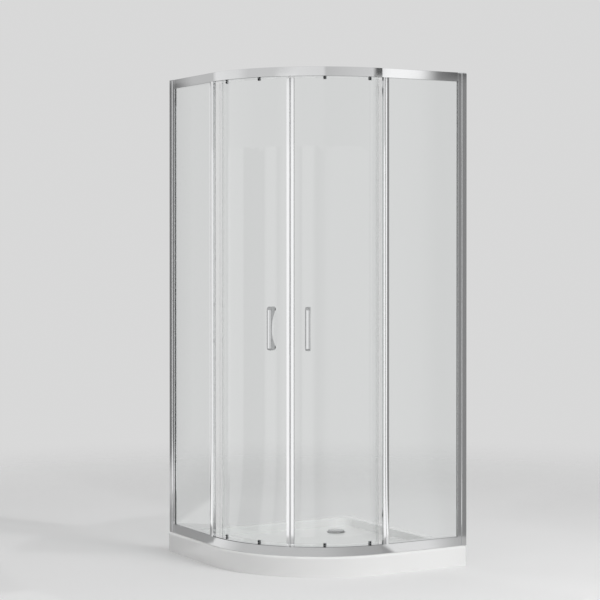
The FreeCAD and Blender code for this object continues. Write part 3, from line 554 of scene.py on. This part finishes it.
def level_length(size, outward, radius):
    """Length of a turned piece that lies level in a box of this size."""
    lean_x, lean_y = abs(outward.x), abs(outward.y)
    if lean_x > lean_y:
        return (size.x - 2 * radius * lean_y) / lean_x
    return (size.y - 2 * radius * lean_x) / lean_y


def clamp_screw(mesh, sizes, solid):
    """Add one clamp screw of a roller: a bevelled disc with a hexagon socket, on its shank."""
    outward = level_direction(sizes.front_axis, solid.middle)
    size = solid.high - solid.low
    radius = size.z / 2
    reach = level_length(size, outward, radius) / 2
    shoulder = reach - sizes.clamp_height
    bevel = sizes.clamp_height * CLAMP_BEVEL
    profile = (
        (sizes.clamp_shank, -reach),
        (sizes.clamp_shank, shoulder),
        (radius, shoulder),
        (radius, reach - bevel),
        (radius - bevel, reach),
    )
    recess = regular_outline(sizes.socket_width / 2, HEXAGON)
    turned_screw(mesh, sizes, (solid.low + solid.high) / 2, outward, profile, recess)


def pan_head_screw(mesh, sizes, solid):
    """Add one pan-head screw with a cross recess, along X or Y with its head at the far end."""
    size = solid.high - solid.low
    outward = Vector((1.0, 0.0, 0.0)) if size.x > size.y else Vector((0.0, 1.0, 0.0))
    radius = size.z / 2
    reach = size.dot(outward) / 2
    profile = [(sizes.shank_radius, -reach), (sizes.shank_radius, reach - sizes.head_height)]
    profile += [(radius * width, reach - sizes.head_height * drop) for width, drop in PAN_HEAD]
    recess = cross_outline(sizes.cross_length, sizes.cross_width)
    turned_screw(mesh, sizes, (solid.low + solid.high) / 2, outward, profile, recess)


def screws(name, node, body, material, add_screw, sizes):
    """One piece of like screws that stands for a CAD node."""
    mesh = bmesh.new()
    for solid in solids(node):
        add_screw(mesh, sizes, solid)
    finish_piece(mesh, name, node, body, material)


# Bow handles


def bow_outline(sizes, base, grip, half):
    """Side view of a bow handle, from the pane outwards and along its height, counter-clockwise."""
    chord = half - sizes.foot
    bow = (chord ** 2 + sizes.hollow ** 2) / (2 * sizes.hollow)
    sweep = math.degrees(math.asin(chord / bow))
    edge, shoulder, steps = sizes.edge, sizes.shoulder, sizes.steps
    stretches = (
        arc((base + edge, edge - half), edge, 180, 270, steps),
        arc((grip - shoulder, shoulder - half), shoulder, 270, 360, steps),
        arc((grip - shoulder, half - shoulder), shoulder, 0, 90, steps),
        arc((base + edge, half - edge), edge, 90, 180, steps),
        arc((base + sizes.hollow - bow, 0), bow, sweep, -sweep, 4 * steps),
    )
    outline = []
    for stretch, following in zip(stretches, stretches[1:] + stretches[:1]):
        outline += stretch + line(stretch[-1], following[0], steps)
    return outline


def bow_edges(sizes, outline, base, half_width):
    """For each point of the outline, how far the rounding goes inwards and how far across."""
    edges = []
    for number, point in enumerate(outline):
        along = outline[(number + 1) % len(outline)] - outline[number - 1]
        inward = Vector((-along.y, along.x)).normalized()
        share = min(1.0, max(0.0, (point.x - base - sizes.edge) / sizes.blend_length))
        depth = sizes.flank + (sizes.crown - sizes.flank) * share
        reach = sizes.flank + (half_width - sizes.ridge / 2 - sizes.flank) * share
        edges.append((point, inward * depth, reach))
    return edges


def bow_handle(side, sizes, axis, material):
    """One crowned bow handle that stands for the CAD node."""
    node = side + "_handle"
    low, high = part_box(node)
    centre = (low + high) / 2
    outward = level_direction(axis, centre)
    across = Vector((-outward.y, outward.x, 0.0))
    corners = [vert.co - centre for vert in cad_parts[node].data.vertices]
    grip = max(corner.dot(outward) for corner in corners)
    half_width = max(corner.dot(across) for corner in corners)
    outline = bow_outline(sizes, -grip, grip, (high.z - low.z) / 2)
    edges = bow_edges(sizes, outline, -grip, half_width)
    quarter = [math.pi / 2 * turn / sizes.steps for turn in range(sizes.steps + 1)]
    mesh = bmesh.new()
    rings = []
    for sign, angles in ((-1, quarter[::-1]), (1, quarter)):
        for angle in angles:
            ring = []
            for point, inward, reach in edges:
                spot = point + inward * (1 - math.cos(angle))
                aside = sign * (half_width - reach + reach * math.sin(angle))
                ring.append(mesh.verts.new(centre + outward * spot.x + across * aside + UP * spot.y))
            rings.append(ring)
    for near, far in zip(rings, rings[1:]):
        join_rings(mesh, near, far, smooth=True)
    mesh.faces.new(rings[0])
    mesh.faces.new(reversed(rings[-1]))
    finish_piece(mesh, side + "_bow_handle", node, side + "_door", material)


# Stage


# Greys of the bands, each with its bearing in degrees about the axis of the curved front:
# 0 is towards -X and 90 is towards -Y
RAIL_GREYS = (
    (-180.0, 0.60), (-62.0, 0.28), (-60.3, 0.32), (-59.3, 0.60), (-57.0, 0.56), (-52.0, 0.87),
    (-20.0, 0.80), (-8.0, 0.66), (20.0, 0.66), (40.0, 0.82), (64.5, 0.78), (65.0, 0.58), (90.0, 0.66),
    (110.0, 0.70), (112.4, 0.32), (113.4, 0.09), (118.8, 0.07), (119.2, 1.10), (122.3, 1.10),
    (122.9, 0.72), (123.6, 0.24), (124.2, 0.13), (127.0, 0.13), (140.0, 0.40), (180.0, 0.60),
)
FLOOR_GREYS = (
    (-180.0, 0.60), (-52.0, 0.34), (-34.0, 0.36), (-32.0, 0.82), (-22.0, 0.82), (0.0, 0.58), (62.0, 0.58),
    (84.0, 0.46), (104.0, 0.42), (108.6, 0.34), (109.6, 0.84), (119.0, 0.84), (126.0, 0.48), (180.0, 0.60),
)
UPRIGHT_START = (
    (-160.0, 0.34), (-152.0, BACKDROP), (-92.0, BACKDROP), (-88.0, 1.12), (-64.2, 1.12), (-64.0, 0.16),
    (-60.2, 0.16), (-59.3, 0.56), (-57.0, 0.56), (-55.6, 0.34), (-51.5, 0.34),
)
UPRIGHT_END = (
    (111.0, 0.14), (112.4, 0.14), (112.7, 1.12), (122.0, 1.12), (123.6, 0.26), (160.0, 0.34),
)
UPRIGHT_GREYS = (
    *UPRIGHT_START,
    (-51.3, 1.12), (-24.0, 1.12), (-22.0, 0.10), (3.0, 0.10), (5.0, 1.36), (16.0, 1.36), (18.0, 0.12),
    (24.0, 1.12), (37.0, 1.12), (42.0, 0.10), (44.0, 1.36), (55.0, 1.36), (58.0, 0.10), (72.0, 1.12),
    (110.7, 1.12),
    *UPRIGHT_END,
)
UPPER_GREYS = (
    *UPRIGHT_START,
    (-51.3, 1.00), (-20.0, 0.86), (-8.0, 0.68), (18.0, 0.68), (24.0, 1.05), (37.0, 1.05), (42.0, 0.84),
    (64.5, 0.80), (65.5, 0.60), (90.0, 0.68), (108.0, 0.76), (110.7, 1.00),
    *UPRIGHT_END,
)


def add_mesh(name, points, faces):
    """An object made of these faces."""
    data = bpy.data.meshes.new(name)
    data.from_pydata(points, [], faces)
    added = bpy.data.objects.new(name, data)
    bpy.context.scene.collection.objects.link(added)
    return added


def make_floor(stage):
    """Pale floor that fades into the air."""
    reach = stage.floor_far * FLOOR_SPREAD
    corners = [(-reach, -reach, 0), (reach, -reach, 0), (reach, reach, 0), (-reach, reach, 0)]
    floor = add_mesh("floor", corners, [(0, 1, 2, 3)])
    sheet = new_sheet("plain_floor")
    away = sheet.node("ShaderNodeVectorMath", {"operation": "LENGTH"}, {0: sheet.place()}, out="Value")
    gone = sheet.fade(away, stage.floor_near, stage.floor_far)
    grain = sheet.noise(grain=6.0)
    solid = sheet.principled(
        Base_Color=sheet.vary(grain, stage.floor_colour, darkest=0.995, lightest=1.005),
        Roughness=0.9,
    )
    clear = sheet.node("ShaderNodeBsdfTransparent")
    floor.data.materials.append(sheet.show(sheet.mix(gone, solid, clear)))


def make_bands(stage, axis):
    """Soft walls of light and dark round the cabin, which only the bright metal mirrors."""
    low, near, middle, far = stage.band_low, stage.band_near, stage.band_middle, stage.band_far
    make_band("floor_band", axis, ((near, low), (middle, low)), FLOOR_GREYS)
    make_band("glow_band", axis, ((middle, low), (far, low)), UPRIGHT_GREYS)
    make_band("upright_band", axis, ((far, low), (far, stage.band_upper)), UPRIGHT_GREYS)
    make_band("upper_band", axis, ((far, stage.band_upper), (far, stage.band_step)), UPPER_GREYS)
    make_band("rail_band", axis, ((far, stage.band_step), (far, stage.band_high)), RAIL_GREYS)


def make_band(name, axis, edges, greys):
    """One band about an upright axis, between two edges that each have a radius and a height."""
    points, faces = [], []
    for step in range(BAND_ROUNDS):
        angle = 2 * math.pi * step / BAND_ROUNDS
        points += [(radius * math.cos(angle), radius * math.sin(angle), height) for radius, height in edges]
        here, after = 2 * step, 2 * ((step + 1) % BAND_ROUNDS)
        faces.append((here, after, after + 1, here + 1))
    band = add_mesh(name, points, faces)
    band.location = axis
    band.rotation_euler.z = math.pi
    sheet = new_sheet(name)
    radial = {"gradient_type": "RADIAL"}
    turn = sheet.node("ShaderNodeTexGradient", radial, {"Vector": sheet.place()}, out="Fac")
    stops = [(bearing / 360 + 0.5, grey) for bearing, grey in greys]
    colour = sheet.node("ShaderNodeValToRGB", {"stops": stops}, {"Fac": turn})
    band.data.materials.append(sheet.show(sheet.node("ShaderNodeEmission", None, {"Color": colour})))
    band.visible_camera = False
    band.visible_diffuse = False
    band.visible_transmission = False
    band.visible_shadow = False


def make_lamp(name, place, target, width, power):
    """A square soft lamp aimed at a point."""
    data = bpy.data.lights.new(name, "AREA")
    data.shape = "SQUARE"
    data.size = width
    data.energy = power
    lamp = bpy.data.objects.new(name, data)
    bpy.context.scene.collection.objects.link(lamp)
    lamp.location = place
    lamp.rotation_mode = "QUATERNION"
    lamp.rotation_quaternion = (target - Vector(place)).to_track_quat("-Z", "Y")
    lamp.visible_camera = False
    lamp.visible_glossy = False
    lamp.visible_transmission = False


def make_lamps(stage):
    """Key from the right, fill from the left, and one overhead."""
    low, high = cad_box
    middle = (low + high) / 2
    make_lamp("key_lamp", stage.key_place, middle, stage.key_width, stage.key_power)
    make_lamp("fill_lamp", stage.fill_place, middle, stage.fill_width, stage.fill_power)
    make_lamp("top_lamp", stage.top_place, middle, stage.top_width, stage.top_power)


def make_air(scene, stage):
    """Pale air for the eye and for reflections, softer light for everything else."""
    world = bpy.data.worlds.new("air")
    scene.world = world
    sheet = Sheet(world)
    seen = sheet.node("ShaderNodeLightPath", out="Is Camera Ray")
    for ray in ("Is Glossy Ray", "Is Transmission Ray"):
        seen = seen | sheet.node("ShaderNodeLightPath", out=ray)
    pale = sheet.node("ShaderNodeBackground", None, {"Color": WHITE, "Strength": stage.backdrop})
    soft = sheet.node("ShaderNodeBackground", None, {"Color": WHITE, "Strength": stage.air_strength})
    sheet.show(sheet.mix(seen, soft, pale), "ShaderNodeOutputWorld")


def make_camera(scene, stage):
    """Camera at the photograph's angle."""
    data = bpy.data.cameras.new("camera")
    data.lens = stage.focal_pixels / stage.picture_pixels * data.sensor_width
    data.shift_x = stage.shift_pixels[0] / stage.picture_pixels
    data.shift_y = stage.shift_pixels[1] / stage.picture_pixels
    data.clip_end = stage.camera_depth
    camera = bpy.data.objects.new("camera", data)
    scene.collection.objects.link(camera)
    camera.location = stage.camera_place
    yaw, pitch = stage.camera_yaw, stage.camera_pitch
    level = math.cos(pitch)
    ahead = Vector((math.sin(yaw) * level, math.cos(yaw) * level, math.sin(pitch)))
    camera.rotation_mode = "QUATERNION"
    camera.rotation_quaternion = ahead.to_track_quat("-Z", "Y")
    scene.camera = camera


# Operators


class CABIN_OT_tray(bpy.types.Operator):
    """Finish the tray, its feet and its waste."""

    bl_idname = "cabin.tray"
    bl_label = "Tray and waste"

    def execute(self, context):
        finishes = context.scene.cabin_finishes
        dress(acrylic(finishes.acrylic), "shower_tray")
        chrome = polished_metal("waste_chrome", finishes.chrome, roughness=0.09)
        dress(chrome, "waste_flange", "waste_cover")
        white = moulded("white_plastic", finishes.white_plastic, roughness=0.38)
        dress(white, "waste_body", "waste_strainer")
        dress(moulded("foot_plastic", finishes.foot, roughness=0.5), "tray_feet")
        dress(polished_metal("nut_steel", finishes.steel, roughness=0.25), "tray_foot_nuts")
        dress(moulded("gasket_rubber", finishes.rubber, roughness=0.65), "waste_gaskets")
        return {"FINISHED"}


class CABIN_OT_profiles(bpy.types.Operator):
    """Finish the rails, jambs and stiles."""

    bl_idname = "cabin.profiles"
    bl_label = "Rails and profiles"

    def execute(self, context):
        finishes = context.scene.cabin_finishes
        rail = drawn_metal("bright_rail", finishes.aluminium, ALONG_RAIL, roughness=0.035)
        upright = drawn_metal("bright_upright", finishes.aluminium, ALONG_HEIGHT, roughness=0.05)
        dress(rail, "top_rail", "bottom_rail")
        dress(upright, *both("wall_profile", "jamb", "fixed_stile", "meeting_stile"))
        cap = moulded("cap_plastic", finishes.grey_plastic, roughness=0.35)
        dress(cap, "jamb_caps", "rail_end_caps")
        dress(moulded("spigot_plastic", finishes.white_plastic, roughness=0.45), "corner_spigots")
        dress(moulded("stop_rubber", finishes.rubber, roughness=0.6), "rail_stops")
        return {"FINISHED"}


class CABIN_OT_glass(bpy.types.Operator):
    """Finish the fixed panes and the doors' panes."""

    bl_idname = "cabin.glass"
    bl_label = "Glass"

    def execute(self, context):
        finishes = context.scene.cabin_finishes
        dress(clear_glass(finishes.glass, finishes.glass_edge), *both("fixed_glass", "door_glass"))
        return {"FINISHED"}


class CABIN_OT_seals(bpy.types.Operator):
    """Finish the gaskets, lips, clear door edges, washers and magnetic strips."""

    bl_idname = "cabin.seals"
    bl_label = "Seals"

    def execute(self, context):
        finishes = context.scene.cabin_finishes
        clear = soft_clear(finishes.seal)
        dress(clear, *both("glazing_gasket", "overlap_seal", "outer_stile", "handle_washers"))
        dress(ribbed_strip(finishes.magnet), *both("magnetic_seal"))
        return {"FINISHED"}


class CABIN_OT_handles(bpy.types.Operator):
    """Shape the bow handles and finish their studs and domed nuts."""

    bl_idname = "cabin.handles"
    bl_label = "Handles"

    def execute(self, context):
        scene = context.scene
        chrome = polished_metal("handle_chrome", scene.cabin_finishes.chrome, roughness=0.03)
        dress(chrome, *both("handle", "handle_caps"))
        for side in SIDES:
            bow_handle(side, scene.cabin_handles, scene.cabin_fasteners.front_axis, chrome)
        stud = polished_metal("stud_steel", scene.cabin_finishes.steel, roughness=0.25)
        dress(stud, *both("handle_bolts"))
        return {"FINISHED"}


class CABIN_OT_rollers(bpy.types.Operator):
    """Finish the roller carriages and shape their clamp screws."""

    bl_idname = "cabin.rollers"
    bl_label = "Rollers"

    def execute(self, context):
        finishes = context.scene.cabin_finishes
        sizes = context.scene.cabin_fasteners
        dress(moulded("carrier_plastic", finishes.carrier, roughness=0.42), *both("roller_brackets"))
        dress(polished_metal("axle_steel", finishes.steel, roughness=0.2), *both("roller_axles"))
        nylon = moulded("wheel_nylon", finishes.nylon, roughness=0.3, grain=600.0, depth=0.00003)
        for level in ("top", "bottom"):
            dress(nylon, *both(level + "_outer_wheel", level + "_inner_wheel"))
        dark = polished_metal("clamp_metal", finishes.dark_metal, roughness=0.3)
        for side in SIDES:
            name, node, body = side + "_clamp_screws", side + "_roller_screws", side + "_door"
            screws(name, node, body, dark, clamp_screw, sizes)
        return {"FINISHED"}


class CABIN_OT_screws(bpy.types.Operator):
    """Shape the cross-headed screws of the jambs and corners."""

    bl_idname = "cabin.screws"
    bl_label = "Screws"

    def execute(self, context):
        sizes = context.scene.cabin_fasteners
        bright = polished_metal("screw_steel", context.scene.cabin_finishes.steel, roughness=0.22)
        screws("jamb_cross_screws", "jamb_screws", "frame", bright, pan_head_screw, sizes)
        screws("corner_cross_screws", "frame_screws", "frame", bright, pan_head_screw, sizes)
        return {"FINISHED"}


class CABIN_OT_stage(bpy.types.Operator):
    """Set up the floor, bands, lamps, air and camera."""

    bl_idname = "cabin.stage"
    bl_label = "Stage"

    def execute(self, context):
        scene = context.scene
        scene.view_settings.view_transform = "Standard"
        make_floor(scene.cabin_stage)
        make_bands(scene.cabin_stage, scene.cabin_fasteners.front_axis)
        make_lamps(scene.cabin_stage)
        make_air(scene, scene.cabin_stage)
        make_camera(scene, scene.cabin_stage)
        return {"FINISHED"}


# Panel and registration


GROUPS = {
    "cabin_finishes": CabinFinishes,
    "cabin_fasteners": CabinFasteners,
    "cabin_handles": CabinHandles,
    "cabin_stage": CabinStage,
}
OPERATORS = (
    CABIN_OT_tray, CABIN_OT_profiles, CABIN_OT_glass, CABIN_OT_seals, CABIN_OT_handles, CABIN_OT_rollers,
    CABIN_OT_screws, CABIN_OT_stage,
)


class CABIN_PT_panel(bpy.types.Panel):
    """The cabin's steps and settings."""

    bl_idname = "CABIN_PT_panel"
    bl_label = "Shower cabin"
    bl_space_type = "VIEW_3D"
    bl_region_type = "UI"
    bl_category = "Cabin"

    def draw(self, context):
        for step in OPERATORS:
            self.layout.operator(step.bl_idname)
        for group in GROUPS:
            settings = getattr(context.scene, group)
            column = self.layout.column()
            for name in settings.__annotations__:
                column.prop(settings, name)


def register():
    """Add the settings, the operators and the panel."""
    for name, group in GROUPS.items():
        bpy.utils.register_class(group)
        setattr(bpy.types.Scene, name, PointerProperty(type=group))
    for step in OPERATORS:
        bpy.utils.register_class(step)
    bpy.utils.register_class(CABIN_PT_panel)


def unregister():
    """Take away what register added."""
    bpy.utils.unregister_class(CABIN_PT_panel)
    for step in reversed(OPERATORS):
        bpy.utils.unregister_class(step)
    for name, group in GROUPS.items():
        delattr(bpy.types.Scene, name)
        bpy.utils.unregister_class(group)


def main():
    """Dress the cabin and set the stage."""
    register()
    bpy.ops.cabin.tray()
    bpy.ops.cabin.profiles()
    bpy.ops.cabin.glass()
    bpy.ops.cabin.seals()
    bpy.ops.cabin.handles()
    bpy.ops.cabin.rollers()
    bpy.ops.cabin.screws()
    bpy.ops.cabin.stage()


if __name__ == "__main__":
    main()
